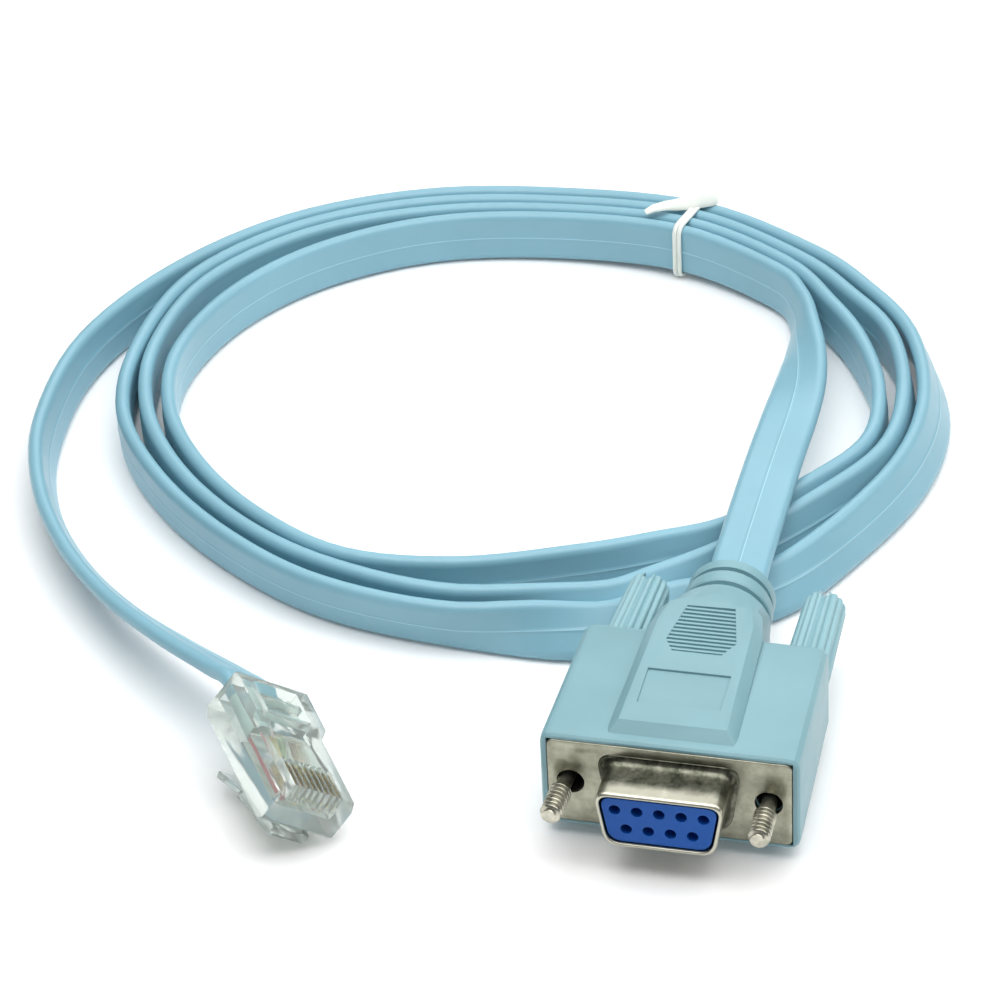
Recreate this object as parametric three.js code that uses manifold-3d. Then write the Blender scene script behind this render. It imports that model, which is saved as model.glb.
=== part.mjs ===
// Serial console cable: a nine-way connector with two thumbscrews, a flat cable coiled on its edge
// and a clear eight-way modular plug. Millimetres, +Z up, floor at z = 0, mating face towards -Y.
import * as THREE from "three";
import { mergeVertices } from "three/addons/utils/BufferGeometryUtils.js";
import Module from "manifold-3d";

const GAP = 0.3;

// Connector, measured from the flange face: y is the distance behind it, z from the plug's axis.
const MID_Y = 17.6;
const SCREW_X = 12.495;
const FLANGE_EAR = 2.705;
const FLANGE = { x: 2 * (SCREW_X + FLANGE_EAR), z: 12.1, t: 0.8, corner: 1 };

// The hood wraps the flange with a rim and draws in towards the back.
const HOOD_RIM = { x: 1.17, z: 1.02 };
const HOOD_DRAFT = { x: 0.47, z: 0.74 };
const HOOD_FRONT = { y: 0.15, halfX: FLANGE.x / 2 + HOOD_RIM.x, halfZ: FLANGE.z / 2 + HOOD_RIM.z };
const HOOD_REAR = {
  y: 24.93,
  halfX: HOOD_FRONT.halfX - HOOD_DRAFT.x,
  halfZ: HOOD_FRONT.halfZ - HOOD_DRAFT.z,
};
const HOOD_CORNER = 1.5;

// How far the hood's faces draw in at its rounded ends: distance from the end, then inset.
const FRONT_ROUND = [
  [0, 0.35],
  [0.35, 0.08],
  [0.9, 0],
];
const REAR_ROUND = [
  [1.2, -0.02],
  [0.6, 0.12],
  [0.2, 0.4],
  [0, 0.8],
];

// Boss over and under the hood, which stands on the floor: y, half width, height, bevel, limiting circle.
const BOSS_RISE = 1.33;
const BOSS_Z = HOOD_FRONT.halfZ + BOSS_RISE;
const AXIS_Z = BOSS_Z;
const BOSS = [
  [1.65, 8.1, BOSS_Z - 1.4, 0.2, 99],
  [2.94, 8.1, BOSS_Z, 1.3, 99],
  [24, 7.45, BOSS_Z, 1.3, 99],
  [28.2, 6.6, BOSS_Z, 1.3, 10.2],
  [30.6, 6.1, BOSS_Z, 1.5, 8.4],
  [32.2, 6.2, 8.2, 2, 7.9],
  [33.8, 6.3, 7.6, 2.2, 7.3],
  [35, 6.3, 6.9, 2.2, 6.7],
  [35.6, 6.3, 6.4, 2, 6.3],
];
const NECK_PROFILE = [
  [30.5, 5.6],
  [33.6, 6.15],
  [35.6, 6.3],
  [35.8, 4.9],
  [36.9, 4.9],
  [37.0, 5.9],
  [37.3, 6.05],
  [39.0, 6.05],
  [39.3, 5.9],
  [39.4, 4.8],
  [40.2, 4.8],
  [40.3, 5.75],
  [41.7, 5.9],
  [42.1, 5.6],
  [42.3, 5.1],
];

// D skirt: half width at its top and foot, height above and below the axis, corner, reach and wall.
const SKIRT = { halfTop: 8.2, halfFoot: 6.9, top: 3.95, foot: 4.15, corner: 2, reach: 6.5, wall: 0.5 };
const SKIRT_ROOT = [
  [1.3, 0.15],
  [0.75, 0.4],
  [0.35, 0.8],
];
const INSULATOR_INSET = 0.3;
const CONTACT_PITCH = 2.77;
const ROW_Z = 1.42;
const SOCKET = { r: 0.75, floorY: -0.5 };
const SLEEVE = { front: 3.6, rear: 0.8, floor: 1.6, outer: 0.45, inner: 0.26 };

// Thumbscrews: a threaded tip, a plain core, and a fluted knob with a slot in its end.
const SHAFT = {
  tip: 7.3,
  lead: 0.35,
  threadEnd: 1.9,
  core: 1,
  root: 1.12,
  crest: 1.42,
  pitch: 0.7,
  land: 0.3,
};
const SCREW_BORE = SHAFT.crest + 0.33;
const LEFT_SCREW_TILT = -3;
const TILT_PIVOT_Y = 12.5;
const KNOB = { gap: 0.47, length: 16.5, r0: 3.15, r1: 2.85, flutes: 16, fluteDepth: 0.3, grip: 4.3 };
const KNOB_ENDS = { lead: 0.4, barrel: 8, shoulder: 1.1, tip: 0.4 };
const KNOB_SLOT = { half: 0.6, depth: 1.6 };
const KNOB_Y0 = HOOD_REAR.y + KNOB.gap;
const KNOB_Y1 = KNOB_Y0 + KNOB.length;

// Grip recess on the boss: outline corners in x and y, depth, and its ribs.
const GRIP = [
  [-3.0, 27.6],
  [3.2, 27.8],
  [4.7, 20.5],
  [3.3, 17.8],
  [-3.1, 17.8],
  [-4.3, 20.1],
];
const GRIP_DEPTH = 0.35;
const RIBS = { count: 12, first: 18.35, pitch: 0.8, half: 0.2 };
const LABEL = { x: 5.3, y0: 6.7, y1: 13.8, depth: 0.3 };

// Flat cable.
const CABLE_W = 8;
const CABLE_T = 2.1;

// Modular plug, in its own axes: x from the cable end to the nose, y across, z up through the contacts.
const PLUG = { length: 20.8, width: 11.6, rearH: 7.3, noseH: 6.1, step: 7.6 };
const PLUG_ORIGIN = [-57.5, 6.4, 6.7];
const PLUG_NOSE = [0.57, -0.811, -0.133];
const PLUG_UP = [0.572, 0.275, 0.773];
const BLADE_PITCH = 1.02;
const JACKET_END = 8;

// Cable route: x, y behind the flange face, lean of the strip in degrees (0 stands on its edge,
// positive leans into the coil), height above lying on the floor.
const ROUTE = [
  [0, 42.6, -90, 7.35],
  [0, 50, -90, 7.95],
  [0, 58, -90, 8.05],
  [0, 66, -90, 8.05],
  [0, 75, -90, 7.8],
  [0, 85, -88, 7],
  [-0.3, 94, -76, 5.4],
  [-1.2, 102.5, -56, 3.2],
  [-2.6, 111, -30, 1.2],
  [-4.6, 119.4, -8, 0.2],
  [-9.4, 125.7, 0, 0.3],
  [-25.2, 133.2, 0, 0.8],
  [-45, 134.8, 0, 0.2],
  [-63.4, 131, 0, 0],
  [-78.4, 120.8, 0, 0],
  [-87.9, 106.7, 0, 0],
  [-91.5, 90, 0, 0],
  [-88.3, 75, 0, 0],
  [-79.7, 61.6, 0, 0],
  [-67.5, 50.9, -4, 0],
  [-53.8, 44.2, -4, 0],
  [-38, 44.6, 0, 0],
  [-22, 50.1, 8, 0],
  [-13, 54.3, 20, 0],
  [-4, 59.6, 30, 0],
  [3.9, 68.8, 28, 0],
  [11.4, 82, 8, 0],
  [11.2, 95.8, 5, 0],
  [6.4, 108.7, 0, 0],
  [0.2, 118.4, 0, 0],
  [-8, 127.6, 0, 0.3],
  [-24.6, 135.6, 0, 0.8],
  [-45.3, 137.3, 0, 0.2],
  [-64.6, 133.9, 0, 0],
  [-81.7, 124.3, 0, 0],
  [-92.9, 108.9, 0, 0],
  [-95.3, 90.1, 0, 0],
  [-91.3, 73.9, 0, 0],
  [-82.1, 59.7, 0, 0],
  [-68.9, 48.5, -6, 0],
  [-54.2, 41.5, -7, 0],
  [-36.6, 38.6, -4, 0],
  [-18.6, 42, 36, 0],
  [-10.6, 47.7, 38, 0],
  [-1.8, 56, 34, 0],
  [6.7, 67.1, 24, 0],
  [14.4, 81.3, 15, 0],
  [15, 96.4, 12, 0],
  [10.6, 111.2, 5, 0],
  [2.9, 120.9, 0, 0],
  [-6.6, 129.6, 0, 0.3],
  [-24, 138, 0, 0.8],
  [-45.5, 139.7, 0, 0.2],
  [-65.7, 136.4, 0, 0],
  [-83.6, 126.2, 0, 0],
  [-95.3, 110, 0, 0],
  [-97.8, 90.2, 0, 0],
  [-94.4, 72.6, -2, 0],
  [-84.4, 57.9, -5, 0],
  [-70.6, 46, -10, 0],
  [-54.9, 37.9, -12, 0],
  [-35.8, 35, -9, 0],
  [-17.6, 38.3, 50, 0],
  [-8.8, 44.2, 48, 0],
  [3.4, 50.4, 38, 0],
  [11.4, 63, 24, 0],
  [17.8, 80.4, 27, 0],
  [18.7, 97, 28, 0],
  [13.8, 112.8, 18, 0],
  [5, 123.6, 6, 0],
  [-5.2, 131.9, 0, 0.3],
  [-23.4, 140.4, 0, 0.8],
  [-45.8, 142.1, 0, 0.2],
  [-66.8, 138.7, 0, 0],
  [-85.6, 128, 0, 0],
  [-98.9, 111, 0, 0],
  [-106, 90.5, -6, 0],
  [-105.4, 70, -11, 0],
  [-100.6, 54.8, -15, 0],
  [-92.5, 42, -26, 0.3],
  [-82.4, 31, -38, 1.5],
  [-71.2, 21.5, -47, 3.6],
  [-61.5, 14.2, -52, 5.4],
];

const wasm = await Module();
wasm.setup();

function solid(geometry) {
  const bare = geometry.index ? geometry.toNonIndexed() : geometry.clone();
  bare.deleteAttribute("normal");
  bare.deleteAttribute("uv");
  const merged = mergeVertices(bare, 1e-4);
  return new wasm.Manifold(
    new wasm.Mesh({
      numProp: 3,
      vertProperties: merged.attributes.position.array,
      triVerts: new Uint32Array(merged.index.array),
    })
  );
}

function geometryOf(manifold) {
  const mesh = manifold.getMesh();
  const out = new THREE.BufferGeometry();
  out.setAttribute("position", new THREE.BufferAttribute(new Float32Array(mesh.vertProperties), 3));
  out.setIndex(new THREE.BufferAttribute(new Uint32Array(mesh.triVerts), 1));
  const flat = out.toNonIndexed();
  flat.computeVertexNormals();
  return flat;
}

const join = (first, ...rest) => rest.reduce((sum, g) => sum.add(solid(g)), solid(first));
const cut = (body, ...tools) => tools.reduce((left, g) => left.subtract(solid(g)), body);

// A closed skin over rings of equal point count, each ring a convex loop of THREE.Vector3.
function loft(rings) {
  const count = rings[0].length;
  const points = rings.flat();
  const faces = [];
  for (let i = 0; i + 1 < rings.length; i++) {
    for (let j = 0; j < count; j++) {
      const a = i * count + j;
      const b = i * count + ((j + 1) % count);
      faces.push(a, b, b + count, a, b + count, a + count);
    }
  }
  const last = (rings.length - 1) * count;
  for (let j = 1; j + 1 < count; j++) {
    faces.push(0, j + 1, j);
    faces.push(last, last + j, last + j + 1);
  }
  const out = new THREE.BufferGeometry();
  out.setAttribute("position", new THREE.Float32BufferAttribute(points.flatMap((p) => p.toArray()), 3));
  out.setIndex(faces);
  return out.toNonIndexed();
}

function box(x0, x1, y0, y1, z0, z1) {
  const out = new THREE.BoxGeometry(x1 - x0, y1 - y0, z1 - z0);
  out.translate((x0 + x1) / 2, (y0 + y1) / 2, (z0 + z1) / 2);
  return out;
}

// A lathe of [y, radius] pairs about the y axis, closed on the axis.
function turned(profile, segments, x = 0, z = 0) {
  const loop = [[profile[0][0], 0], ...profile, [profile.at(-1)[0], 0]];
  const out = new THREE.LatheGeometry(loop.map(([y, r]) => new THREE.Vector2(r, y)), segments);
  out.translate(x, 0, z);
  return out;
}

// A flat outline in x and z, drawn through from y0 to y1.
function throughY(shape, y0, y1, curveSegments = 8) {
  const out = new THREE.ExtrudeGeometry(shape, { depth: y1 - y0, bevelEnabled: false, curveSegments });
  out.rotateX(Math.PI / 2);
  out.translate(0, y1, 0);
  return out;
}

function roundedRing(halfX, halfZ, radius, y, steps = 3) {
  const ring = [];
  const corners = [
    [1, 1, 0],
    [-1, 1, 90],
    [-1, -1, 180],
    [1, -1, 270],
  ];
  for (const [sx, sz, start] of corners) {
    for (let k = 0; k <= steps; k++) {
      const a = THREE.MathUtils.degToRad(start + (90 * k) / steps);
      const x = sx * (halfX - radius) + radius * Math.cos(a);
      const z = sz * (halfZ - radius) + radius * Math.sin(a);
      ring.push(new THREE.Vector3(x, y, z));
    }
  }
  return ring.reverse();
}

// Eight-cornered boss section, rounded off to a circle where the circle is the smaller.
function bossRing(y, halfX, halfZ, bevel, circle) {
  const corners = [
    [halfX, halfZ - bevel],
    [halfX - bevel, halfZ],
    [-halfX + bevel, halfZ],
    [-halfX, halfZ - bevel],
    [-halfX, -halfZ + bevel],
    [-halfX + bevel, -halfZ],
    [halfX - bevel, -halfZ],
    [halfX, -halfZ + bevel],
  ];
  const ring = [];
  corners.forEach(([x0, z0], i) => {
    const [x1, z1] = corners[(i + 1) % corners.length];
    for (let k = 0; k < 4; k++) {
      const x = x0 + ((x1 - x0) * k) / 4;
      const z = z0 + ((z1 - z0) * k) / 4;
      const shrink = Math.min(1, circle / Math.hypot(x, z));
      ring.push(new THREE.Vector3(x * shrink, y, z * shrink));
    }
  });
  return ring.reverse();
}

// The grip recess's outline as an upright prism from z0 to z1.
function gripOutline(z0, z1) {
  const shape = new THREE.Shape(GRIP.map(([x, y]) => new THREE.Vector2(x, y)));
  const out = new THREE.ExtrudeGeometry(shape, { depth: z1 - z0, bevelEnabled: false });
  out.translate(0, 0, z0);
  return out;
}

function makeHood() {
  const front = FRONT_ROUND.map(([back, inset]) => {
    const corner = HOOD_CORNER - (inset * 6) / 7;
    return roundedRing(HOOD_FRONT.halfX - inset, HOOD_FRONT.halfZ - inset, corner, HOOD_FRONT.y + back);
  });
  const rear = REAR_ROUND.map(([ahead, inset]) =>
    roundedRing(HOOD_REAR.halfX - inset, HOOD_REAR.halfZ - inset, HOOD_CORNER, HOOD_REAR.y - ahead)
  );
  const wings = loft([...front, ...rear]);
  const boss = loft(BOSS.map((station) => bossRing(...station)));
  let body = join(wings, boss, turned(NECK_PROFILE, 36));
  const seat = { x: FLANGE.x / 2 + GAP, z: FLANGE.z / 2 + GAP };
  const bore = [
    [-1, SCREW_BORE],
    [HOOD_REAR.y + 1, SCREW_BORE],
  ];
  const tools = [
    box(-seat.x, seat.x, -1, FLANGE.t + GAP, -seat.z, seat.z),
    turned(bore, 20, SCREW_X),
    turned(bore, 20, -SCREW_X),
    box(-LABEL.x, LABEL.x, LABEL.y0, LABEL.y1, BOSS_Z - LABEL.depth, BOSS_Z + 1),
    gripOutline(BOSS_Z - GRIP_DEPTH, BOSS_Z + 1),
  ];
  body = cut(body, ...tools);
  const room = solid(gripOutline(BOSS_Z - GRIP_DEPTH - 0.1, BOSS_Z - 0.06));
  for (let k = 0; k < RIBS.count; k++) {
    const y = RIBS.first + RIBS.pitch * k;
    const rib = solid(box(-6, 6, y - RIBS.half, y + RIBS.half, BOSS_Z - GRIP_DEPTH - 0.1, BOSS_Z));
    body = body.add(rib.intersect(room));
  }
  return geometryOf(body);
}

// D outline, narrower at the foot, with rounded corners.
function dShape(halfTop, halfFoot, top, foot, corner) {
  const ends = [
    [halfTop, top],
    [-halfTop, top],
    [-halfFoot, foot],
    [halfFoot, foot],
  ].map(([x, z]) => new THREE.Vector2(x, z));
  const path = new THREE.Shape();
  ends.forEach((p, i) => {
    const before = ends[(i + 3) % 4].clone().sub(p).setLength(corner).add(p);
    const after = ends[(i + 1) % 4].clone().sub(p).setLength(corner).add(p);
    if (i) path.lineTo(before.x, before.y);
    else path.moveTo(before.x, before.y);
    path.quadraticCurveTo(p.x, p.y, after.x, after.y);
  });
  path.closePath();
  return path;
}

function skirtOutline(grow) {
  const { halfTop, halfFoot, top, foot, corner } = SKIRT;
  return dShape(halfTop + grow, halfFoot + grow * 0.8, top + grow, -foot - grow, corner + grow * 0.5);
}

function makeShell() {
  const half = [FLANGE.x / 2, FLANGE.z / 2];
  const plate = loft([
    roundedRing(half[0], half[1], FLANGE.corner, 0),
    roundedRing(half[0], half[1], FLANGE.corner, FLANGE.t),
  ]);
  const middle = FLANGE.t / 2;
  const root = SKIRT_ROOT.map(([reach, grow]) => throughY(skirtOutline(grow), -reach, middle));
  const body = join(plate, throughY(skirtOutline(0), -SKIRT.reach, middle), ...root);
  const hole = [
    [-1, SCREW_BORE],
    [FLANGE.t + 1, SCREW_BORE],
  ];
  const inside = throughY(skirtOutline(-SKIRT.wall), -SKIRT.reach - 1, FLANGE.t + 1);
  return geometryOf(cut(body, inside, turned(hole, 24, SCREW_X), turned(hole, 24, -SCREW_X)));
}

const sockets = [];
for (let k = 0; k < 5; k++) sockets.push([(k - 2) * CONTACT_PITCH, ROW_Z]);
for (let k = 0; k < 4; k++) sockets.push([(k - 1.5) * CONTACT_PITCH, -ROW_Z]);

function makeInsulator() {
  const front = SKIRT.reach - INSULATOR_INSET;
  const block = solid(throughY(skirtOutline(-SKIRT.wall - GAP), -front, FLANGE.t));
  const hole = [
    [-front - 1, SOCKET.r],
    [SOCKET.floorY, SOCKET.r],
  ];
  return geometryOf(cut(block, ...sockets.map(([x, z]) => turned(hole, 12, x, z))));
}

function makeSocketContact(x, z) {
  const { front, rear, floor, outer, inner } = SLEEVE;
  const sleeve = turned([[-front, outer], [-rear, outer]], 12, x, z);
  const inside = turned([[-front - 1, inner], [-floor, inner]], 12, x, z);
  return geometryOf(cut(solid(sleeve), inside));
}

function makeShaft() {
  const { tip, lead, core, root, crest, pitch, land, threadEnd } = SHAFT;
  const profile = [[-tip, core]];
  for (let y = lead - tip; y < -threadEnd - land; y += pitch) {
    profile.push([y, root], [y + land, crest]);
  }
  profile.push([-threadEnd, core], [KNOB_Y0 + KNOB.grip, core]);
  return geometryOf(solid(turned(profile, 16)));
}

function makeKnob() {
  const rings = [];
  const stations = [
    [KNOB_Y0, 0.9, 0.4],
    [KNOB_Y0 + KNOB_ENDS.lead, 0.98, 1],
    [KNOB_Y0 + KNOB_ENDS.barrel, 1, 1],
    [KNOB_Y1 - KNOB_ENDS.shoulder, 1, 1],
    [KNOB_Y1 - KNOB_ENDS.tip, 0.94, 0.8],
    [KNOB_Y1, 0.8, 0.3],
  ];
  for (const [y, scale, flute] of stations) {
    const r = THREE.MathUtils.mapLinear(y, KNOB_Y0, KNOB_Y1, KNOB.r0, KNOB.r1) * scale;
    const ring = [];
    for (let k = 0; k < KNOB.flutes * 4; k++) {
      const a = (2 * Math.PI * k) / (KNOB.flutes * 4);
      const share = [1, 1 / 3, 0, 1 / 3][k % 4];
      const here = r - KNOB.fluteDepth * share * flute;
      ring.push(new THREE.Vector3(here * Math.cos(a), y, -here * Math.sin(a)));
    }
    rings.push(ring);
  }
  const bore = [
    [KNOB_Y0 - 1, SHAFT.core + GAP],
    [KNOB_Y0 + KNOB.grip + GAP, SHAFT.core + GAP],
  ];
  const { half, depth } = KNOB_SLOT;
  const slot = box(-half, half, KNOB_Y1 - depth, KNOB_Y1 + 1, -KNOB.r0 - 1, KNOB.r0 + 1);
  return geometryOf(cut(solid(loft(rings)), turned(bore, 16), slot));
}

const plugAxes = new THREE.Matrix4();
{
  const nose = new THREE.Vector3(...PLUG_NOSE).normalize();
  const across = new THREE.Vector3(...PLUG_UP).cross(nose).normalize();
  const up = nose.clone().cross(across);
  plugAxes.makeBasis(nose, across, up);
  plugAxes.setPosition(...PLUG_ORIGIN);
}

const SLOT_Z = 3.6;

// Cable stations: centre of the strip, and the strip's edgeward and facing directions.
function cableFrames() {
  const centres = ROUTE.map(([x, y, lean, lift]) => {
    const upright = Math.abs(Math.cos(THREE.MathUtils.degToRad(lean)));
    const rest = CABLE_T / 2 + ((CABLE_W - CABLE_T) / 2) * upright;
    return new THREE.Vector3(x, y, rest + lift);
  });
  const leans = ROUTE.map((station) => station[2]);
  for (const x of [-2.5, JACKET_END]) {
    centres.push(new THREE.Vector3(x, 0, SLOT_Z).applyMatrix4(plugAxes));
    leans.push(-52);
  }
  return centres.map((centre, i) => {
    const before = centres[Math.max(i - 1, 0)];
    const after = centres[Math.min(i + 1, centres.length - 1)];
    const ahead = after.clone().sub(before).normalize();
    if (i === 0) ahead.set(0, 1, 0);
    const left = new THREE.Vector3(-ahead.y, ahead.x, 0).normalize();
    const up = ahead.clone().cross(left).normalize();
    const lean = THREE.MathUtils.degToRad(leans[i]);
    const wide = up.multiplyScalar(Math.cos(lean)).addScaledVector(left, Math.sin(lean));
    if (i >= centres.length - 2) {
      ahead.set(...PLUG_NOSE).normalize();
      wide.setFromMatrixColumn(plugAxes, 1).negate();
    }
    return { centre, wide, thick: ahead.clone().cross(wide).normalize() };
  });
}

function makeCable() {
  const reach = (CABLE_W - CABLE_T) / 2;
  const rings = cableFrames().map(({ centre, wide, thick }) => {
    const ring = [];
    for (const side of [1, -1]) {
      for (let k = 0; k < 5; k++) {
        const a = THREE.MathUtils.degToRad(45 * k - 90);
        const w = side * (reach + (CABLE_T / 2) * Math.cos(a));
        const t = side * (CABLE_T / 2) * Math.sin(a);
        ring.push(centre.clone().addScaledVector(wide, w).addScaledVector(thick, t));
      }
    }
    return ring;
  });
  return geometryOf(solid(loft(rings)));
}

// White twist tie round the four strands, its flat twisted ends lying over them.
const TIE = { x: -24.3, y: 136.8, turn: -14, halfAlong: 0.8, halfAcross: 5.5, height: 9.4, t: 0.45 };
const TIE_ENDS = [
  [-31, 134.9, 9.6],
  [-28.6, 136.4, 10.1],
  [-25.6, 137.9, 9.7],
  [-23.4, 139.2, 10.2],
  [-21.2, 140.6, 9.9],
];

function makeTie() {
  const loop = (grow) => {
    const ring = new THREE.Shape();
    const h = TIE.halfAcross - grow;
    const top = TIE.height - grow;
    ring.moveTo(-h + 1, grow);
    ring.lineTo(h - 1, grow);
    ring.quadraticCurveTo(h, grow, h, grow + 1);
    ring.lineTo(h, top - 1);
    ring.quadraticCurveTo(h, top, h - 1, top);
    ring.lineTo(-h + 1, top);
    ring.quadraticCurveTo(-h, top, -h, top - 1);
    ring.lineTo(-h, grow + 1);
    ring.quadraticCurveTo(-h, grow, -h + 1, grow);
    return ring;
  };
  const along = (shape, half) => {
    const out = new THREE.ExtrudeGeometry(shape, { depth: 2 * half, bevelEnabled: false, curveSegments: 3 });
    out.translate(0, 0, -half);
    out.rotateX(Math.PI / 2);
    out.rotateZ(Math.PI / 2 + THREE.MathUtils.degToRad(TIE.turn));
    out.translate(TIE.x, TIE.y, 0);
    return out;
  };
  const band = cut(solid(along(loop(0), TIE.halfAlong)), along(loop(TIE.t), TIE.halfAlong + 1));
  const points = TIE_ENDS.map((p) => new THREE.Vector3(...p));
  const rings = points.map((centre, i) => {
    const next = points[Math.min(i + 1, points.length - 1)];
    const last = points[Math.max(i - 1, 0)];
    const ahead = next.clone().sub(last).normalize();
    const side = new THREE.Vector3(0, 0, 1).cross(ahead).normalize();
    const up = ahead.clone().cross(side);
    const a = THREE.MathUtils.degToRad(40 - 30 * i);
    const wide = side.multiplyScalar(Math.cos(a)).addScaledVector(up, Math.sin(a));
    const thick = wide.clone().cross(ahead);
    const corners = [
      [0.9, -0.3],
      [-0.9, -0.3],
      [-0.9, 0.3],
      [0.9, 0.3],
    ];
    return corners.map(([p, q]) => centre.clone().addScaledVector(wide, p).addScaledVector(thick, q));
  });
  return geometryOf(band.add(solid(loft(rings))));
}

// A side outline of [x, z] pairs, drawn across the plug from -half to half.
function acrossPlug(outline, half, centre = 0) {
  const shape = new THREE.Shape(outline.map(([x, z]) => new THREE.Vector2(x, z)));
  return throughY(shape, centre - half, centre + half);
}

const bladeY = (k) => (k - 3.5) * BLADE_PITCH;

function makePlugBody() {
  const { length: l, width, rearH, noseH, step } = PLUG;
  const outline = [
    [0, 0.6],
    [0.8, 0],
    [l - 0.7, 0],
    [l, 0.7],
    [l, noseH - 1],
    [l - 0.8, noseH],
    [step + 0.6, noseH],
    [step, rearH],
    [0.5, rearH],
    [0, rearH - 0.5],
  ];
  const tools = [
    box(-1, JACKET_END + GAP, -4.35, 4.35, SLOT_Z - 1.4, SLOT_Z + 1.4),
    box(JACKET_END, 19.2, -4.35, 4.35, SLOT_Z - 1.1, SLOT_Z + 0.3),
    box(1.4, step - 0.6, -3.6, 3.6, rearH - 1.3, rearH + 1),
    box(step + 0.4, step + 2.6, -3, 3, noseH - 1.1, noseH + 1),
  ];
  for (let k = 0; k < 8; k++) {
    tools.push(box(14.6, 19.9, bladeY(k) - 0.33, bladeY(k) + 0.33, SLOT_Z + 0.1, noseH + 1));
  }
  const body = cut(solid(acrossPlug(outline, width / 2)), ...tools);
  return geometryOf(body);
}

function makeLatch() {
  const outline = [
    [20.5, -GAP],
    [20.5, -1.7],
    [18.5, -2.1],
    [13.5, -2.9],
    [5, -5.9],
    [4.6, -5.1],
    [13.2, -1.9],
    [17.8, -0.9],
    [19.2, -GAP],
  ];
  const lever = solid(acrossPlug(outline, 3));
  const narrow = [1, -1].map((s) => box(0, 11.5, s < 0 ? -9 : 1.7, s < 0 ? -1.7 : 9, -8, 0));
  return geometryOf(cut(lever, ...narrow));
}

function makeBlade(k) {
  const outline = [
    [14.9, SLOT_Z + 0.4],
    [19.6, SLOT_Z + 0.4],
    [19.6, PLUG.noseH - 0.5],
    [19.1, PLUG.noseH - 0.15],
    [15.4, PLUG.noseH - 0.15],
    [14.9, PLUG.noseH - 0.5],
  ];
  return geometryOf(solid(acrossPlug(outline, 0.15, bladeY(k))));
}

function makeWire(k) {
  const y = bladeY(k);
  const start = (k - 3.5) * 0.98;
  const path = [
    [JACKET_END + GAP, start, SLOT_Z - 0.4],
    [11, start, SLOT_Z - 0.4],
    [13, y, SLOT_Z - 0.4],
    [18.9, y, SLOT_Z - 0.4],
  ];
  const rings = path.map(([x, cy, cz]) => {
    const ring = [];
    for (let j = 0; j < 8; j++) {
      const a = (2 * Math.PI * j) / 8;
      ring.push(new THREE.Vector3(x, cy + 0.38 * Math.cos(a), cz + 0.38 * Math.sin(a)));
    }
    return ring;
  });
  return geometryOf(solid(loft(rings)));
}

const root = new THREE.Group();
root.name = "console_cable";

function place(name, geometry, colour, options = {}) {
  const { matrix, ...look } = options;
  const out = geometry;
  if (matrix) out.applyMatrix4(matrix);
  out.translate(0, -MID_Y, 0);
  const material = new THREE.MeshStandardMaterial({ color: colour, roughness: 0.5, ...look });
  const mesh = new THREE.Mesh(out, material);
  mesh.name = name;
  root.add(mesh);
}

const raised = { matrix: new THREE.Matrix4().makeTranslation(0, 0, AXIS_Z) };
const inPlug = { matrix: plugAxes };
const steel = { metalness: 1, roughness: 0.3 };
const gold = { metalness: 1, roughness: 0.25 };

place("connector_hood", makeHood(), 0xa6c9dc, raised);
place("connector_shell", makeShell(), 0xb9b7b0, { ...raised, ...steel });
place("insulator", makeInsulator(), 0x2f5fa8, raised);
sockets.forEach(([x, z], k) => {
  place(`socket_contact_${k + 1}`, makeSocketContact(x, z), 0xc9a85a, { ...raised, ...gold });
});
for (const [side, x, tilt] of [["left", -SCREW_X, LEFT_SCREW_TILT], ["right", SCREW_X, 0]]) {
  const lean = new THREE.Matrix4().makeRotationZ(THREE.MathUtils.degToRad(tilt));
  const matrix = new THREE.Matrix4().makeTranslation(x, TILT_PIVOT_Y, AXIS_Z).multiply(lean);
  matrix.multiply(new THREE.Matrix4().makeTranslation(0, -TILT_PIVOT_Y, 0));
  place(`screw_shaft_${side}`, makeShaft(), 0xb5b2aa, { matrix, ...steel });
  place(`screw_knob_${side}`, makeKnob(), 0xa6c9dc, { matrix });
}
place("flat_cable", makeCable(), 0x9cc4d6);
place("twist_tie", makeTie(), 0xf2f2ee);
place("plug_body", makePlugBody(), 0xe4eeea, { ...inPlug, transparent: true, opacity: 0.35 });
place("plug_latch", makeLatch(), 0xe4eeea, { ...inPlug, transparent: true, opacity: 0.35 });
const wireColours = [0xb03a40, 0xe6e2d8, 0xd8c24a, 0x6f9a5a, 0xd9d4c8, 0x8a6a4a, 0xe0c8a8, 0xc8ccd0];
for (let k = 0; k < 8; k++) {
  place(`plug_blade_${k + 1}`, makeBlade(k), 0xd0ad55, { ...inPlug, ...gold });
  place(`plug_wire_${k + 1}`, makeWire(k), wireColours[k], inPlug);
}

export default root;
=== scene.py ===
from math import cos, sin, pi, radians, hypot

import bmesh
import bpy
from mathutils import Matrix, Vector


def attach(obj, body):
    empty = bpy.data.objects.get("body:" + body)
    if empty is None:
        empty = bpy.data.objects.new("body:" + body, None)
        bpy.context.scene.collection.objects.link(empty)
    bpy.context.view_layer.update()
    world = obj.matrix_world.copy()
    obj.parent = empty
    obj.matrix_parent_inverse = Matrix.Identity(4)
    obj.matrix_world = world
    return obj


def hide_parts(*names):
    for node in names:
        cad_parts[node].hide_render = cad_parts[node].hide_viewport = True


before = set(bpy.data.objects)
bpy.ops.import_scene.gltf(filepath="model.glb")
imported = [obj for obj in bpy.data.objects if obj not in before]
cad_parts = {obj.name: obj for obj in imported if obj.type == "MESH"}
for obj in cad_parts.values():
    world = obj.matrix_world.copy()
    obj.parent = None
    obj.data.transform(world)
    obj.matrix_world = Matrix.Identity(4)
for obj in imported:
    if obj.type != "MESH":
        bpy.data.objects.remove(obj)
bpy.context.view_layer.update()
MM = 0.001
MID_Y = 17.6
AXIS_Z = 8.4


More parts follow.
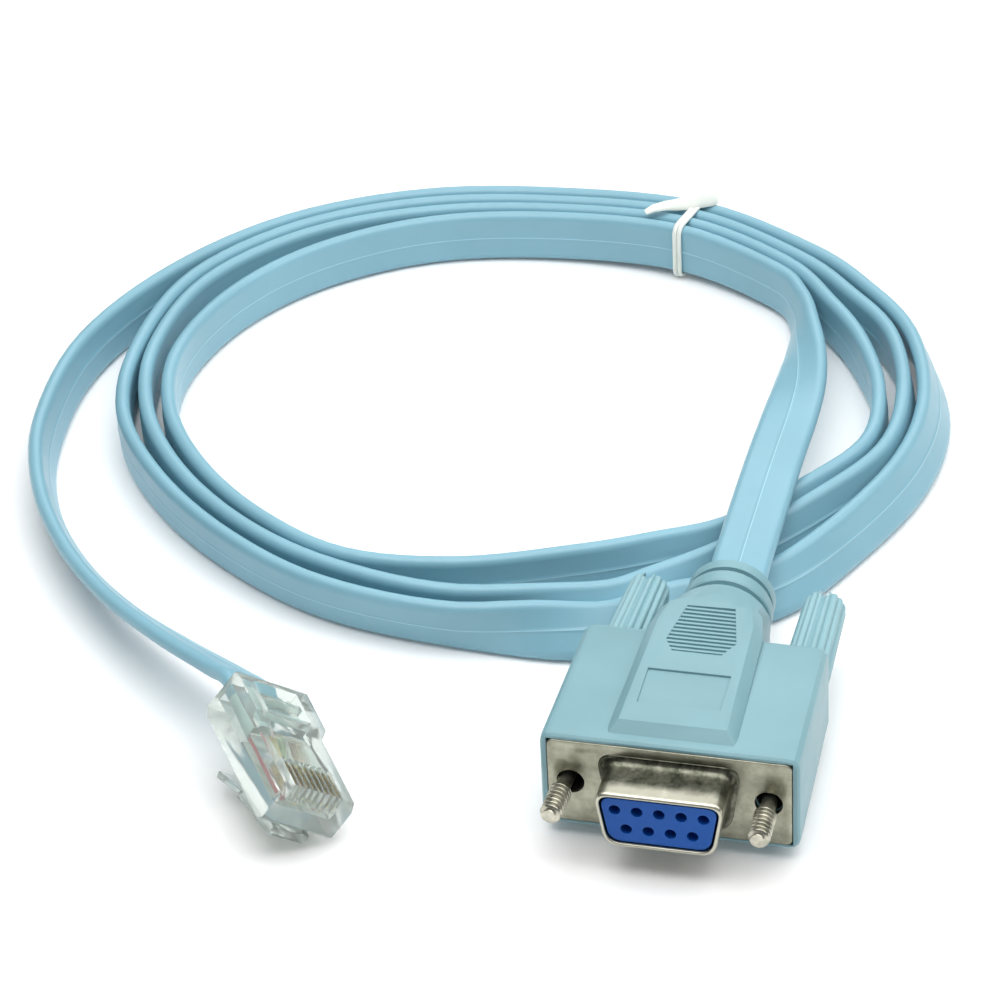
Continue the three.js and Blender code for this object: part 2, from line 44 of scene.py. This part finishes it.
# Camera
camera = bpy.data.objects.new("camera", bpy.data.cameras.new("camera"))
bpy.context.scene.collection.objects.link(camera)
camera.data.sensor_width = 36
camera.data.lens = 144
camera.data.clip_start = 0.01
camera.data.clip_end = 5
right = Vector((0.97162, 0.23228, -0.04462))
down = Vector((0.09687, -0.56287, -0.82085))
ahead = Vector((-0.21579, 0.79323, -0.5694))
eye = Vector((82.87, -376.64 - MID_Y, 320.5)) * MM
camera.matrix_world = Matrix(
    (
        (right.x, -down.x, -ahead.x, eye.x),
        (right.y, -down.y, -ahead.y, eye.y),
        (right.z, -down.z, -ahead.z, eye.z),
        (0, 0, 0, 1),
    )
)
bpy.context.scene.camera = camera
bpy.context.scene.view_settings.view_transform = "Standard"


# Materials
def material(name, base, rough, **sockets):
    made = bpy.data.materials.new(name)
    made.use_nodes = True
    shader = made.node_tree.nodes["Principled BSDF"]
    shader.inputs["Base Color"].default_value = (*base, 1)
    shader.inputs["Roughness"].default_value = rough
    for key, value in sockets.items():
        shader.inputs[key.replace("_", " ")].default_value = value
    return made


def noise(made, scale, detail=3.0, rough=0.5):
    nodes = made.node_tree.nodes
    links = made.node_tree.links
    where = nodes.new("ShaderNodeTexCoord")
    tex = nodes.new("ShaderNodeTexNoise")
    tex.inputs["Scale"].default_value = scale
    tex.inputs["Detail"].default_value = detail
    tex.inputs["Roughness"].default_value = rough
    links.new(where.outputs["Object"], tex.inputs["Vector"])
    return tex.outputs["Fac"]


def rgba(value):
    return (*value, 1) if hasattr(value, "__len__") else (value, value, value, 1)


def vary(made, fac, socket, low, high, lo=0.3, hi=0.7):
    nodes = made.node_tree.nodes
    links = made.node_tree.links
    ramp = nodes.new("ShaderNodeValToRGB")
    ramp.color_ramp.elements[0].position = lo
    ramp.color_ramp.elements[1].position = hi
    ramp.color_ramp.elements[0].color = rgba(low)
    ramp.color_ramp.elements[1].color = rgba(high)
    links.new(fac, ramp.inputs["Fac"])
    links.new(ramp.outputs["Color"], nodes["Principled BSDF"].inputs[socket])


def bump(made, fac, strength, distance):
    nodes = made.node_tree.nodes
    links = made.node_tree.links
    node = nodes.new("ShaderNodeBump")
    node.inputs["Strength"].default_value = strength
    node.inputs["Distance"].default_value = distance
    links.new(fac, node.inputs["Height"])
    links.new(node.outputs["Normal"], nodes["Principled BSDF"].inputs["Normal"])


def moulded(name, base, rough, grain=900, depth=0.00002, spread=0.05):
    made = material(name, base, rough)
    low = [c * (1 - spread) for c in base]
    high = [min(1, c * (1 + spread)) for c in base]
    vary(made, noise(made, 70, 4), "Base Color", low, high)
    vary(made, noise(made, 240, 2), "Roughness", rough - 0.03, rough + 0.04)
    bump(made, noise(made, grain, 2), 0.2, depth)
    return made


def root_shade_mask(made):
    """Mottled metal with painted shade and dark reflection towards the root of the skirt, brighter towards
    its lip.
    """
    shaded_y, bright_y = -0.0212, -0.0236
    nodes = made.node_tree.nodes
    links = made.node_tree.links
    where = nodes.new("ShaderNodeTexCoord")
    split = nodes.new("ShaderNodeSeparateXYZ")
    along = nodes.new("ShaderNodeMapRange")
    along.inputs["From Min"].default_value = shaded_y
    along.inputs["From Max"].default_value = bright_y
    add = nodes.new("ShaderNodeMath")
    add.operation = "MULTIPLY_ADD"
    add.inputs[1].default_value = 0.9
    links.new(where.outputs["Object"], split.inputs["Vector"])
    links.new(split.outputs["Y"], along.inputs["Value"])
    links.new(noise(made, 420, 6, 0.7), add.inputs[0])
    links.new(along.outputs["Result"], add.inputs[2])
    return add.outputs["Value"]


blue = moulded("blue_plastic", (0.2, 0.37, 0.415), 0.4)
knob_blue = moulded("knob_plastic", (0.245, 0.43, 0.475), 0.36)
jacket = moulded("cable_jacket", (0.215, 0.43, 0.525), 0.34, grain=500, depth=0.00001, spread=0.04)
jacket_end = moulded("cable_end", (0.5, 0.66, 0.68), 0.4, grain=500, depth=0.00001, spread=0.04)
# Painted highlight: a lighter copy of the jacket colour for the crest of the centre ridge.
ridge_highlight = moulded("cable_ridge_highlight", (0.33, 0.58, 0.68), 0.36, grain=500, depth=0.00001, spread=0.04)
insulator_blue = moulded("insulator_blue", (0.006, 0.09, 0.4), 0.45, spread=0.08)
insulator_blue.node_tree.nodes["Principled BSDF"].inputs["Specular IOR Level"].default_value = 0.25
# Near-black painted shade for the bore walls inside the hood, behind the flange holes.
bore_shade = material("bore_painted_shade", (0.012, 0.012, 0.013), 0.6)
vary(bore_shade, noise(bore_shade, 300), "Roughness", 0.55, 0.7)

nickel = material("nickel", (0.34, 0.315, 0.265), 0.3, Metallic=1.0)
vary(nickel, noise(nickel, 330, 6, 0.7), "Base Color", (0.24, 0.24, 0.185), (0.42, 0.42, 0.33), 0.33, 0.66)
vary(nickel, noise(nickel, 500, 4, 0.6), "Roughness", 0.3, 0.46)
bump(nickel, noise(nickel, 700, 3), 0.3, 0.00002)

# Skirt nickel: random mottle plus painted shade and dark reflection towards the root at the flange.
skirt_nickel_shaded = material("nickel_root_shade", (0.3, 0.3, 0.24), 0.34, Metallic=1.0)
vary(skirt_nickel_shaded, root_shade_mask(skirt_nickel_shaded), "Base Color", (0.04, 0.045, 0.03), (0.5, 0.49, 0.4), 0.32, 1.2)
vary(skirt_nickel_shaded, noise(skirt_nickel_shaded, 600, 4, 0.6), "Roughness", 0.26, 0.42)
bump(skirt_nickel_shaded, noise(skirt_nickel_shaded, 700, 3), 0.35, 0.00003)

screw_steel = material("screw_steel", (0.42, 0.41, 0.34), 0.28, Metallic=1.0)
vary(screw_steel, noise(screw_steel, 700, 4), "Base Color", (0.25, 0.25, 0.2), (0.62, 0.6, 0.5))
vary(screw_steel, noise(screw_steel, 300, 4), "Roughness", 0.24, 0.42)

gold = material("gold", (0.62, 0.45, 0.17), 0.25, Metallic=1.0)
vary(gold, noise(gold, 500, 3), "Roughness", 0.18, 0.34)

tie_white = material("tie_white", (0.82, 0.85, 0.8), 0.4)
vary(tie_white, noise(tie_white, 160, 4), "Base Color", (0.72, 0.77, 0.71), (0.86, 0.88, 0.84))
bump(tie_white, noise(tie_white, 420, 3), 0.4, 0.00004)

clear = material("clear_plastic", (0.84, 0.9, 0.865), 0.06, Transmission_Weight=0.84, IOR=1.27)
bump(clear, noise(clear, 150, 2), 0.12, 0.00006)

wire_looks = {}
for name, base in {
    "red": (0.45, 0.03, 0.05),
    "white": (0.78, 0.76, 0.7),
    "yellow": (0.72, 0.6, 0.2),
    "green": (0.3, 0.45, 0.2),
    "brown": (0.35, 0.22, 0.12),
    "cream": (0.72, 0.6, 0.42),
}.items():
    wire_looks[name] = moulded("wire_" + name, base, 0.35)


# Mesh helpers
BOX_SIDES = [(0, 1, 3, 2), (4, 6, 7, 5), (0, 4, 5, 1), (2, 3, 7, 6), (0, 2, 6, 4), (1, 5, 7, 3)]


def add_object(name, vertices, faces, look, smooth=35):
    mesh = bpy.data.meshes.new(name)
    mesh.from_pydata(vertices, [], faces)
    mesh.validate()
    work = bmesh.new()
    work.from_mesh(mesh)
    bmesh.ops.recalc_face_normals(work, faces=work.faces)
    work.to_mesh(mesh)
    work.free()
    mesh.materials.append(look)
    made = bpy.data.objects.new(name, mesh)
    bpy.context.scene.collection.objects.link(made)
    shade(made, smooth)
    return made


def shade(made, angle):
    mesh = made.data
    for polygon in mesh.polygons:
        polygon.use_smooth = True
    mesh.set_sharp_from_angle(angle=radians(angle))


def skin(rings, closed=False):
    count = len(rings[0])
    vertices = [p for ring in rings for p in ring]
    faces = []
    total = len(rings)
    for i in range(total if closed else total - 1):
        j = (i + 1) % total
        for k in range(count):
            m = (k + 1) % count
            faces.append((i * count + k, i * count + m, j * count + m, j * count + k))
    if not closed:
        faces.append(tuple(reversed(range(count))))
        faces.append(tuple((total - 1) * count + k for k in range(count)))
    return vertices, faces


def evaluated(made):
    graph = bpy.context.evaluated_depsgraph_get()
    graph.update()
    mesh = bpy.data.meshes.new_from_object(made.evaluated_get(graph))
    made.modifiers.clear()
    old = made.data
    made.data = mesh
    bpy.data.meshes.remove(old)


def softened(node, name, look, width, segments=2, limit=28, smooth=40):
    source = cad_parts[node]
    mesh = source.data.copy()
    mesh.materials.clear()
    mesh.materials.append(look)
    work = bmesh.new()
    work.from_mesh(mesh)
    bmesh.ops.remove_doubles(work, verts=work.verts, dist=1e-6)
    flat = radians(0.6)
    bmesh.ops.dissolve_limit(work, angle_limit=flat, verts=work.verts, edges=work.edges)
    work.to_mesh(mesh)
    work.free()
    made = bpy.data.objects.new(name, mesh)
    bpy.context.scene.collection.objects.link(made)
    edge = made.modifiers.new("edge", "BEVEL")
    edge.width = width
    edge.segments = segments
    edge.limit_method = "ANGLE"
    edge.angle_limit = radians(limit)
    edge.harden_normals = False
    edge.use_clamp_overlap = True
    evaluated(made)
    shade(made, smooth)
    return made


# Flat cable
W, T = 8.0, 2.1
# Each station: x, distance behind the flange, lean from upright in degrees, lift off the floor.
ROUTE = [
    (0, 42.6, -90, 7.35), (0, 50, -90, 7.95), (0, 58, -90, 8.05), (0, 66, -90, 8.05),
    (0, 75, -90, 7.8), (0, 85, -88, 7), (-0.3, 94, -76, 5.4), (-1.2, 102.5, -56, 3.2),
    (-2.6, 111, -30, 1.2), (-4.6, 119.4, -8, 0.2),
    (-9.4, 125.7, 0, 0.3), (-25.2, 133.2, 0, 0.8), (-45, 134.8, 0, 0.2), (-63.4, 131, 0, 0),
    (-78.4, 120.8, 0, 0), (-87.9, 106.7, 0, 0), (-91.5, 90, 0, 0), (-88.3, 75, 0, 0),
    (-79.7, 61.6, 0, 0), (-67.5, 50.9, -4, 0), (-53.8, 44.2, -4, 0), (-38, 44.6, 0, 0),
    (-22, 50.1, 8, 0), (-13, 54.3, 20, 0), (-4, 59.6, 30, 0), (3.9, 68.8, 28, 0),
    (11.4, 82, 8, 0), (11.2, 95.8, 5, 0), (6.4, 108.7, 0, 0), (0.2, 118.4, 0, 0),
    (-8, 127.6, 0, 0.3), (-24.6, 135.6, 0, 0.8), (-45.3, 137.3, 0, 0.2), (-64.6, 133.9, 0, 0),
    (-81.7, 124.3, 0, 0), (-92.9, 108.9, 0, 0), (-95.3, 90.1, 0, 0), (-91.3, 73.9, 0, 0),
    (-82.1, 59.7, 0, 0), (-68.9, 48.5, -6, 0), (-54.2, 41.5, -7, 0), (-36.6, 38.6, -4, 0),
    (-18.6, 42, 36, 0), (-10.6, 47.7, 38, 0), (-1.8, 56, 34, 0), (6.7, 67.1, 24, 0),
    (14.4, 81.3, 15, 0), (15, 96.4, 12, 0), (10.6, 111.2, 5, 0), (2.9, 120.9, 0, 0),
    (-6.6, 129.6, 0, 0.3), (-24, 138, 0, 0.8), (-45.5, 139.7, 0, 0.2), (-65.7, 136.4, 0, 0),
    (-83.6, 126.2, 0, 0), (-95.3, 110, 0, 0), (-97.8, 90.2, 0, 0), (-94.4, 72.6, -2, 0),
    (-84.4, 57.9, -5, 0), (-70.6, 46, -10, 0), (-54.9, 37.9, -12, 0), (-35.8, 35, -9, 0),
    (-17.6, 38.3, 50, 0), (-8.8, 44.2, 48, 0), (3.4, 50.4, 38, 0), (11.4, 63, 24, 0),
    (17.8, 80.4, 27, 0), (18.7, 97, 28, 0), (13.8, 112.8, 18, 0), (5, 123.6, 6, 0),
    (-5.2, 131.9, 0, 0.3), (-23.4, 140.4, 0, 0.8), (-45.8, 142.1, 0, 0.2), (-66.8, 138.7, 0, 0),
    (-85.6, 128, 0, 0), (-98.9, 111, 0, 0), (-106, 90.5, -6, 0), (-105.4, 70, -11, 0),
    (-100.6, 54.8, -15, 0), (-92.5, 42, -26, 0.3), (-82.4, 31, -38, 1.5), (-71.2, 21.5, -47, 3.6),
    (-61.5, 14.2, -52, 5.4),
]
PLUG_AT = Vector((-57.5, 6.4 - MID_Y, 6.7))
NOSE = Vector((0.57, -0.811, -0.133)).normalized()
ACROSS = Vector((0.572, 0.275, 0.773)).cross(NOSE).normalized()
UP = NOSE.cross(ACROSS)
SLOT_Z = 3.6


def in_plug(x, y, z):
    return PLUG_AT + NOSE * x + ACROSS * y + UP * z


def catmull(a, b, c, d, t):
    slope = (c - a) * t
    bend = (2 * a - 5 * b + 4 * c - d) * t * t
    swing = (3 * b - a - 3 * c + d) * t ** 3
    return 0.5 * (2 * b + slope + bend + swing)


def cable_stations():
    centres = []
    for x, y, lean, lift in ROUTE:
        rest = T / 2 + (W - T) / 2 * abs(cos(radians(lean)))
        centres.append(Vector((x, y - MID_Y, rest + lift)))
    leans = [entry[2] for entry in ROUTE]
    for x in (-2.5, 8.0):
        centres.append(in_plug(x, 0, SLOT_Z))
        leans.append(-52)
    wides = []
    last = len(centres) - 1
    for i, lean in enumerate(leans):
        along = (centres[min(i + 1, last)] - centres[max(i - 1, 0)]).normalized()
        if i == 0:
            along = Vector((0, 1, 0))
        left = Vector((-along.y, along.x, 0)).normalized()
        up = along.cross(left).normalized()
        wide = up * cos(radians(lean)) + left * sin(radians(lean))
        if i >= last - 1:
            wide = -ACROSS
        wides.append(wide)
    return centres, wides


def cable_section():
    loop = []
    reach = (W - T) / 2
    for side in (1, -1):
        for k in range(9):
            a = radians(22.5 * k - 90)
            loop.append((side * (reach + T / 2 * cos(a)), side * T / 2 * sin(a)))
        for w in (2.7, 0.5, 0.2, 0.08, -0.08, -0.2, -0.5, -2.7):
            lift = 0.0 if abs(w) > 0.1 else 0.07
            loop.append((side * w, side * (T / 2 + lift)))
    return loop


def make_cable():
    centres, wides = cable_stations()
    steps = 6
    path = []
    flats = []
    last = len(centres) - 1
    for i in range(last):
        a, b, c, d = (centres[max(0, min(last, i + k))] for k in (-1, 0, 1, 2))
        if i == 0:
            a = b + Vector((0, -6, 0))
        p, q, r, s = (wides[max(0, min(last, i + k))] for k in (-1, 0, 1, 2))
        for k in range(steps):
            t = k / steps
            path.append(catmull(a, b, c, d, t))
            flats.append(catmull(p, q, r, s, t))
    path.append(centres[-1])
    flats.append(wides[-1])
    section = cable_section()
    rings = []
    for i, point in enumerate(path):
        along = (path[min(i + 1, len(path) - 1)] - path[max(i - 1, 0)]).normalized()
        wide = (flats[i] - along * flats[i].dot(along)).normalized()
        thick = along.cross(wide)
        ring = [point + wide * w + thick * t for w, t in section]
        dip = min(0, min(p.z for p in ring))
        path[i] = point - Vector((0, 0, dip))
        rings.append([(p - Vector((0, 0, dip))) * MM for p in ring])
    length = sum((b - a).length for a, b in zip(path, path[1:]))
    vertices, faces = skin(rings)
    made = add_object("cable_jacket", vertices, faces, jacket, 50)
    made.data.materials.append(ridge_highlight)
    made.data.materials.append(jacket_end)
    half = len(section) // 2
    for face in made.data.polygons:
        around = sorted({v % half for v in face.vertices})
        # The crest faces of the centre ridge get the painted highlight.
        if around == [half - 5, half - 4]:
            face.material_index = 1
        offset = face.center / MM - PLUG_AT
        if offset.dot(NOSE) > 0.4 and offset.length < 15:
            face.material_index = 2
    return made, [p * MM for p in path], length * MM


cable, cable_path, cable_length = make_cable()
print("cable length", round(cable_length, 4))
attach(cable, "cable")
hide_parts("flat_cable")


# Twist tie
TIE_AT, TIE_TURN = (-24.3, 136.8), -14
TIE_TAIL = [
    (-31, 134.9, 9.5, 0.45, 30), (-29.8, 135.6, 9.95, 0.7, 25), (-28.2, 136.5, 10.0, 0.8, 35),
    (-26.6, 137.4, 9.8, 0.95, 40), (-25, 138.2, 9.85, 1.15, 45), (-23.2, 139.2, 10.0, 1.3, 50),
    (-21.6, 140.1, 9.9, 1.25, 52), (-20.9, 140.5, 9.7, 0.85, 52),
]


def tie_loop(shift, grow):
    turn = Matrix.Rotation(radians(90 + TIE_TURN), 3, "Z")
    half, top, foot, corner = 5.15 + grow, 9.0 + grow, 0.36 - grow, 1.4
    path = []
    for sx, sz, start in ((1, 1, 0), (-1, 1, 90), (-1, -1, 180), (1, -1, 270)):
        for k in range(7):
            a = radians(start + 15 * k)
            across = sx * (half - corner) + corner * cos(a)
            level = (top + foot) / 2 + sz * ((top - foot) / 2 - corner) + corner * sin(a)
            path.append(turn @ Vector((across, shift, 0)) + Vector((*TIE_AT, level)))
    rings = []
    for i, point in enumerate(path):
        along = (path[(i + 1) % len(path)] - path[i - 1]).normalized()
        side = turn @ Vector((0, 1, 0))
        out = along.cross(side).normalized()
        ring = []
        for k in range(10):
            a = 2 * pi * k / 10
            ring.append((point + side * 0.36 * cos(a) + out * 0.3 * sin(a) - Vector((0, MID_Y, 0))) * MM)
        rings.append(ring)
    return skin(rings, closed=True)


def tie_tail():
    rings = []
    for i, (x, y, z, half, twist) in enumerate(TIE_TAIL):
        before = Vector(TIE_TAIL[max(i - 1, 0)][:3])
        after = Vector(TIE_TAIL[min(i + 1, len(TIE_TAIL) - 1)][:3])
        along = (after - before).normalized()
        side = Vector((0, 0, 1)).cross(along).normalized()
        up = along.cross(side)
        a = radians(twist)
        wide = side * cos(a) + up * sin(a)
        thick = wide.cross(along)
        ring = []
        for k in range(12):
            b = 2 * pi * k / 12
            p = Vector((x, y - MID_Y, z)) + wide * half * cos(b) + thick * 0.24 * sin(b)
            ring.append(p * MM)
        rings.append(ring)
    return skin(rings)


tie_parts = {
    "tie_wire_front": tie_loop(-0.36, 0),
    "tie_wire_back": tie_loop(0.36, 0.06),
    "tie_tail": tie_tail(),
}
for name, parts in tie_parts.items():
    piece = add_object(name, *parts, tie_white, 60)
    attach(piece, "cable")
    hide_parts("twist_tie")


# Modular plug
WIRES = [f"plug_wire_{k}" for k in range(1, 9)]
BLADES = [f"plug_blade_{k}" for k in range(1, 9)]
plug = softened("plug_body", "plug_clear", clear, 0.00012, limit=20, smooth=30)
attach(plug, "cable")
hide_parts("plug_body")
lever = softened("plug_latch", "latch_clear", clear, 0.00012, limit=20, smooth=30)
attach(lever, "latch")
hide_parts("plug_latch")


def plug_bar(name, x0, x1, half, z0, z1):
    corners = [in_plug(x, y, z) * MM for x in (x0, x1) for y in (-half, half) for z in (z0, z1)]
    bar = add_object(name, corners, BOX_SIDES, clear, 30)
    edge = bar.modifiers.new("edge", "BEVEL")
    edge.width = 0.00015
    edge.segments = 2
    evaluated(bar)
    shade(bar, 30)
    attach(bar, "cable")
    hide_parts("plug_body")
    return bar


bars = [
    plug_bar("plug_bar_rear", 3.5, 4.5, 3.45, 6.08, 7.1),
    plug_bar("plug_bar_front", 9.2, 9.9, 2.85, 5.08, 5.9),
]


def paint(node, look):
    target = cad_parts[node]
    target.data.materials.clear()
    target.data.materials.append(look)


for node in BLADES + [f"socket_contact_{k}" for k in range(1, 10)]:
    paint(node, gold)
for node, tint in zip(WIRES, ("red", "white", "yellow", "green", "white", "brown", "cream", "white")):
    paint(node, wire_looks[tint])


# Nine-way connector
SCREW_X, SCREW_BORE = 12.495, 1.75
HOOD_REAR_Y = 25
BORE_MARGIN_Y = 1.5
BORE_WALL_R = 2.1
FLANGE_X, FLANGE_Z, FLANGE_T = 30.8, 12.5, 0.8
FLANGE_CORNER = 0.8
SKIRT_TOP = (8.2, 3.95)
SKIRT_FOOT = (6.9, 4.15)
SKIRT_CORNER = 2
# Distance behind the flange, and how far the skin lies outside the skirt's outline there.
SKIRT_SKIN = [
    (0.6, 0.4), (0.3, 1.0), (0.02, 1.0), (-0.1, 0.97), (-0.15, 0.88), (-0.12, 0.78), (-0.16, 0.68),
    (-0.28, 0.5), (-0.45, 0.34), (-0.7, 0.19), (-1.0, 0.1), (-1.5, 0.03), (-2.2, 0), (-5.4, 0),
    (-5.75, 0.03), (-6.0, 0.05), (-6.2, 0.02), (-6.36, -0.06), (-6.46, -0.17), (-6.5, -0.3),
    (-6.45, -0.42), (-6.3, -0.5), (-5.6, -0.5), (-3, -0.5), (0.6, -0.5),
]

hood = softened("connector_hood", "hood_moulding", blue, 0.00022, segments=3, limit=24, smooth=38)
# Bore-wall faces near each screw axis get the painted shade instead of the hood's blue.
hood.data.materials.append(bore_shade)
for face in hood.data.polygons:
    centre = face.center / MM
    off = hypot(abs(centre.x) - SCREW_X, centre.z - AXIS_Z)
    if off < BORE_WALL_R and centre.y < HOOD_REAR_Y - MID_Y - BORE_MARGIN_Y:
        face.material_index = 1
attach(hood, "cable")
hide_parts("connector_hood")


def d_ring(grow, y, steps=8):
    half_top, top = SKIRT_TOP
    half_foot, foot = SKIRT_FOOT
    ends = [
        Vector((half_top + grow, top + grow)),
        Vector((-half_top - grow, top + grow)),
        Vector((-half_foot - grow * 0.8, -foot - grow)),
        Vector((half_foot + grow * 0.8, -foot - grow)),
    ]
    ring = []
    corner = SKIRT_CORNER + grow * 0.5
    for i, end in enumerate(ends):
        before = end + (ends[i - 1] - end).normalized() * corner
        after = end + (ends[(i + 1) % 4] - end).normalized() * corner
        for k in range(steps + 1):
            t = k / steps
            p = before * (1 - t) ** 2 + end * 2 * t * (1 - t) + after * t * t
            ring.append(Vector((p.x, y - MID_Y, p.y + AXIS_Z)) * MM)
    return ring


def plate_ring(inset, y, steps=6):
    ring = []
    for sx, sz, start in ((1, 1, 0), (-1, 1, 90), (-1, -1, 180), (1, -1, 270)):
        for k in range(steps + 1):
            a = radians(start + 90 * k / steps)
            x = sx * (FLANGE_X / 2 - FLANGE_CORNER) + (FLANGE_CORNER - inset) * cos(a)
            z = sz * (FLANGE_Z / 2 - FLANGE_CORNER) + (FLANGE_CORNER - inset) * sin(a)
            ring.append(Vector((x, y - MID_Y, z + AXIS_Z)) * MM)
    return ring


def bore_tool(x, radius):
    rings = []
    for y in (-2, 3):
        ring = []
        for k in range(48):
            a = 2 * pi * k / 48
            ring.append(Vector((x + radius * cos(a), y - MID_Y, AXIS_Z + radius * sin(a))) * MM)
        rings.append(ring)
    return add_object("bore_tool", *skin(rings), nickel)


plate_rings = [plate_ring(*station) for station in ((0.12, 0), (0.03, 0.05), (0, 0.15), (0, FLANGE_T))]
plate = add_object("shell_flange", *skin(plate_rings), nickel)
tools = [bore_tool(SCREW_X, SCREW_BORE), bore_tool(-SCREW_X, SCREW_BORE)]
tools.append(add_object("skirt_tool", *skin([d_ring(0.4, -2), d_ring(0.4, 3)]), nickel))
for tool in tools:
    step = plate.modifiers.new("cut", "BOOLEAN")
    step.operation = "DIFFERENCE"
    step.object = tool
evaluated(plate)
for tool in tools:
    bpy.data.objects.remove(tool)
edge = plate.modifiers.new("edge", "BEVEL")
edge.width = 0.00008
edge.segments = 2
edge.limit_method = "ANGLE"
edge.angle_limit = radians(40)
evaluated(plate)
shade(plate, 30)

skirt_rings = [d_ring(grow, y) for y, grow in SKIRT_SKIN]
# The skirt uses the nickel with painted shade towards its root.
skirt = add_object("shell_skirt", *skin(skirt_rings, closed=True), skirt_nickel_shaded, 60)
for piece in (plate, skirt):
    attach(piece, "cable")
    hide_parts("connector_shell")

paint("insulator", insulator_blue)


# Thumbscrews
TILT_PIVOT_Y = 12.5
LEFT_TILT = -3
SHAFT_R = 1.0
SHAFT_TIP_Y, THREAD_END_Y, SHAFT_END_Y = -7.3, -1.9, 29.7
THREAD_PITCH = 0.72
THREAD_ROOT_R, THREAD_DEPTH = 0.98, 0.44
KNOB_Y0, KNOB_Y1 = 25.4, 41.9
KNOB_R, KNOB_TAPER = 3.15, 0.3
FLUTES, FLUTE_DEPTH = 16, 0.36
SLOT_HALF, SLOT_DEPTH = 0.6, 1.6
# Distance along the knob, share of its radius, share of the flutes' depth.
KNOB_STATIONS = [
    (0, 0.84, 0.2), (0.12, 0.93, 0.6), (0.4, 0.985, 1), (1, 1, 1), (8, 1, 1), (15.2, 1, 1),
    (15.75, 0.975, 0.95), (16.15, 0.92, 0.8), (16.4, 0.84, 0.55), (16.5, 0.72, 0.2),
]


def tilted(x, tilt):
    pivot = Matrix.Translation((x, TILT_PIVOT_Y - MID_Y, AXIS_Z))
    turn = Matrix.Rotation(radians(tilt), 4, "Z")
    return pivot @ turn @ Matrix.Translation((0, -TILT_PIVOT_Y, 0))


def make_thread(name, place):
    rings = []
    y = SHAFT_TIP_Y
    while y < SHAFT_END_Y:
        threaded = y < THREAD_END_Y
        ring = []
        for k in range(28):
            a = 2 * pi * k / 28
            r = SHAFT_R
            if threaded:
                turn = (y / THREAD_PITCH - k / 28) % 1.0
                crest = 1 - abs(2 * turn - 1)
                r = THREAD_ROOT_R + THREAD_DEPTH * min(1.0, max(0.0, crest * 1.7 - 0.3))
                r *= min(1.0, 0.7 + (y - SHAFT_TIP_Y) * 0.5)
            ring.append((place @ Vector((r * cos(a), y, r * sin(a)))) * MM)
        rings.append(ring)
        y += 0.08 if y < -1.5 else 2.0
    vertices, faces = skin(rings)
    return add_object(name, vertices, faces, screw_steel, 50)


def make_knob(name, place):
    rings = []
    for along, scale, flute in KNOB_STATIONS:
        r = (KNOB_R - KNOB_TAPER * along / (KNOB_Y1 - KNOB_Y0)) * scale
        ring = []
        for k in range(128):
            a = 2 * pi * k / 128
            valley = (0.5 + 0.5 * cos(FLUTES * a)) ** 2.2
            here = r - FLUTE_DEPTH * valley * flute
            ring.append((place @ Vector((here * cos(a), KNOB_Y0 + along, -here * sin(a)))) * MM)
        rings.append(ring)
    vertices, faces = skin(rings)
    made = add_object(name, vertices, faces, knob_blue, 50)
    depths = (KNOB_Y1 - SLOT_DEPTH, KNOB_Y1 + 1)
    corners = [(x, y, z) for x in (-SLOT_HALF, SLOT_HALF) for y in depths for z in (-3.6, 3.6)]
    placed = [(place @ Vector(c)) * MM for c in corners]
    tool = add_object(name + "_slot", placed, BOX_SIDES, knob_blue)
    slot = made.modifiers.new("slot", "BOOLEAN")
    slot.operation = "DIFFERENCE"
    slot.object = tool
    evaluated(made)
    bpy.data.objects.remove(tool)
    shade(made, 38)
    return made


for side, x, tilt in (("left", -SCREW_X, LEFT_TILT), ("right", SCREW_X, 0)):
    body = "thumbscrew_" + side
    place = tilted(x, tilt)
    thread = make_thread("thread_" + side, place)
    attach(thread, body)
    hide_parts("screw_shaft_" + side)
    knob = make_knob("knob_" + side, place)
    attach(knob, body)
    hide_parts("screw_knob_" + side)


# Floor and light
FLOOR_HALF, FLOOR_Z = 6, -0.0002
floor = add_object(
    "floor",
    [(x * FLOOR_HALF, y * FLOOR_HALF, FLOOR_Z) for x, y in ((-1, -1), (1, -1), (1, 1), (-1, 1))],
    [(0, 1, 2, 3)],
    material("floor", (0.93, 0.93, 0.93), 0.8, Emission_Color=(1, 1, 1, 1), Emission_Strength=0.06),
)

world = bpy.data.worlds.new("studio")
world.use_nodes = True
sky = world.node_tree
where = sky.nodes.new("ShaderNodeTexCoord")
split = sky.nodes.new("ShaderNodeSeparateXYZ")
height = sky.nodes.new("ShaderNodeMapRange")
height.inputs["From Min"].default_value = 0.0
height.inputs["From Max"].default_value = 0.8
height.inputs["To Min"].default_value = 0.06
height.inputs["To Max"].default_value = 0.42
sky.links.new(where.outputs["Generated"], split.inputs["Vector"])
sky.links.new(split.outputs["Z"], height.inputs["Value"])
sky.links.new(height.outputs["Result"], sky.nodes["Background"].inputs["Strength"])
sky.nodes["Background"].inputs["Color"].default_value = (1, 1, 1, 1)
bpy.context.scene.world = world


def softbox(name, at, towards, size, power):
    light = bpy.data.lights.new(name, "AREA")
    light.shape = "RECTANGLE"
    light.size, light.size_y = size
    light.energy = power
    made = bpy.data.objects.new(name, light)
    bpy.context.scene.collection.objects.link(made)
    made.location = at
    made.rotation_euler = (Vector(towards) - Vector(at)).to_track_quat("-Z", "Y").to_euler()


softbox("key", (0.6, 0.15, 0.75), (-0.03, 0.05, 0), (0.8, 0.8), 3.9)
softbox("top", (-0.2, 0.15, 1.0), (-0.03, 0.05, 0), (1.2, 1.2), 4.6)
softbox("rear", (0.0, 0.9, 0.6), (-0.03, 0.05, 0), (0.9, 0.4), 2)
softbox("inner", (-0.02, 0.0, 0.34), (-0.02, 0.12, 0), (0.3, 0.3), 0.7)
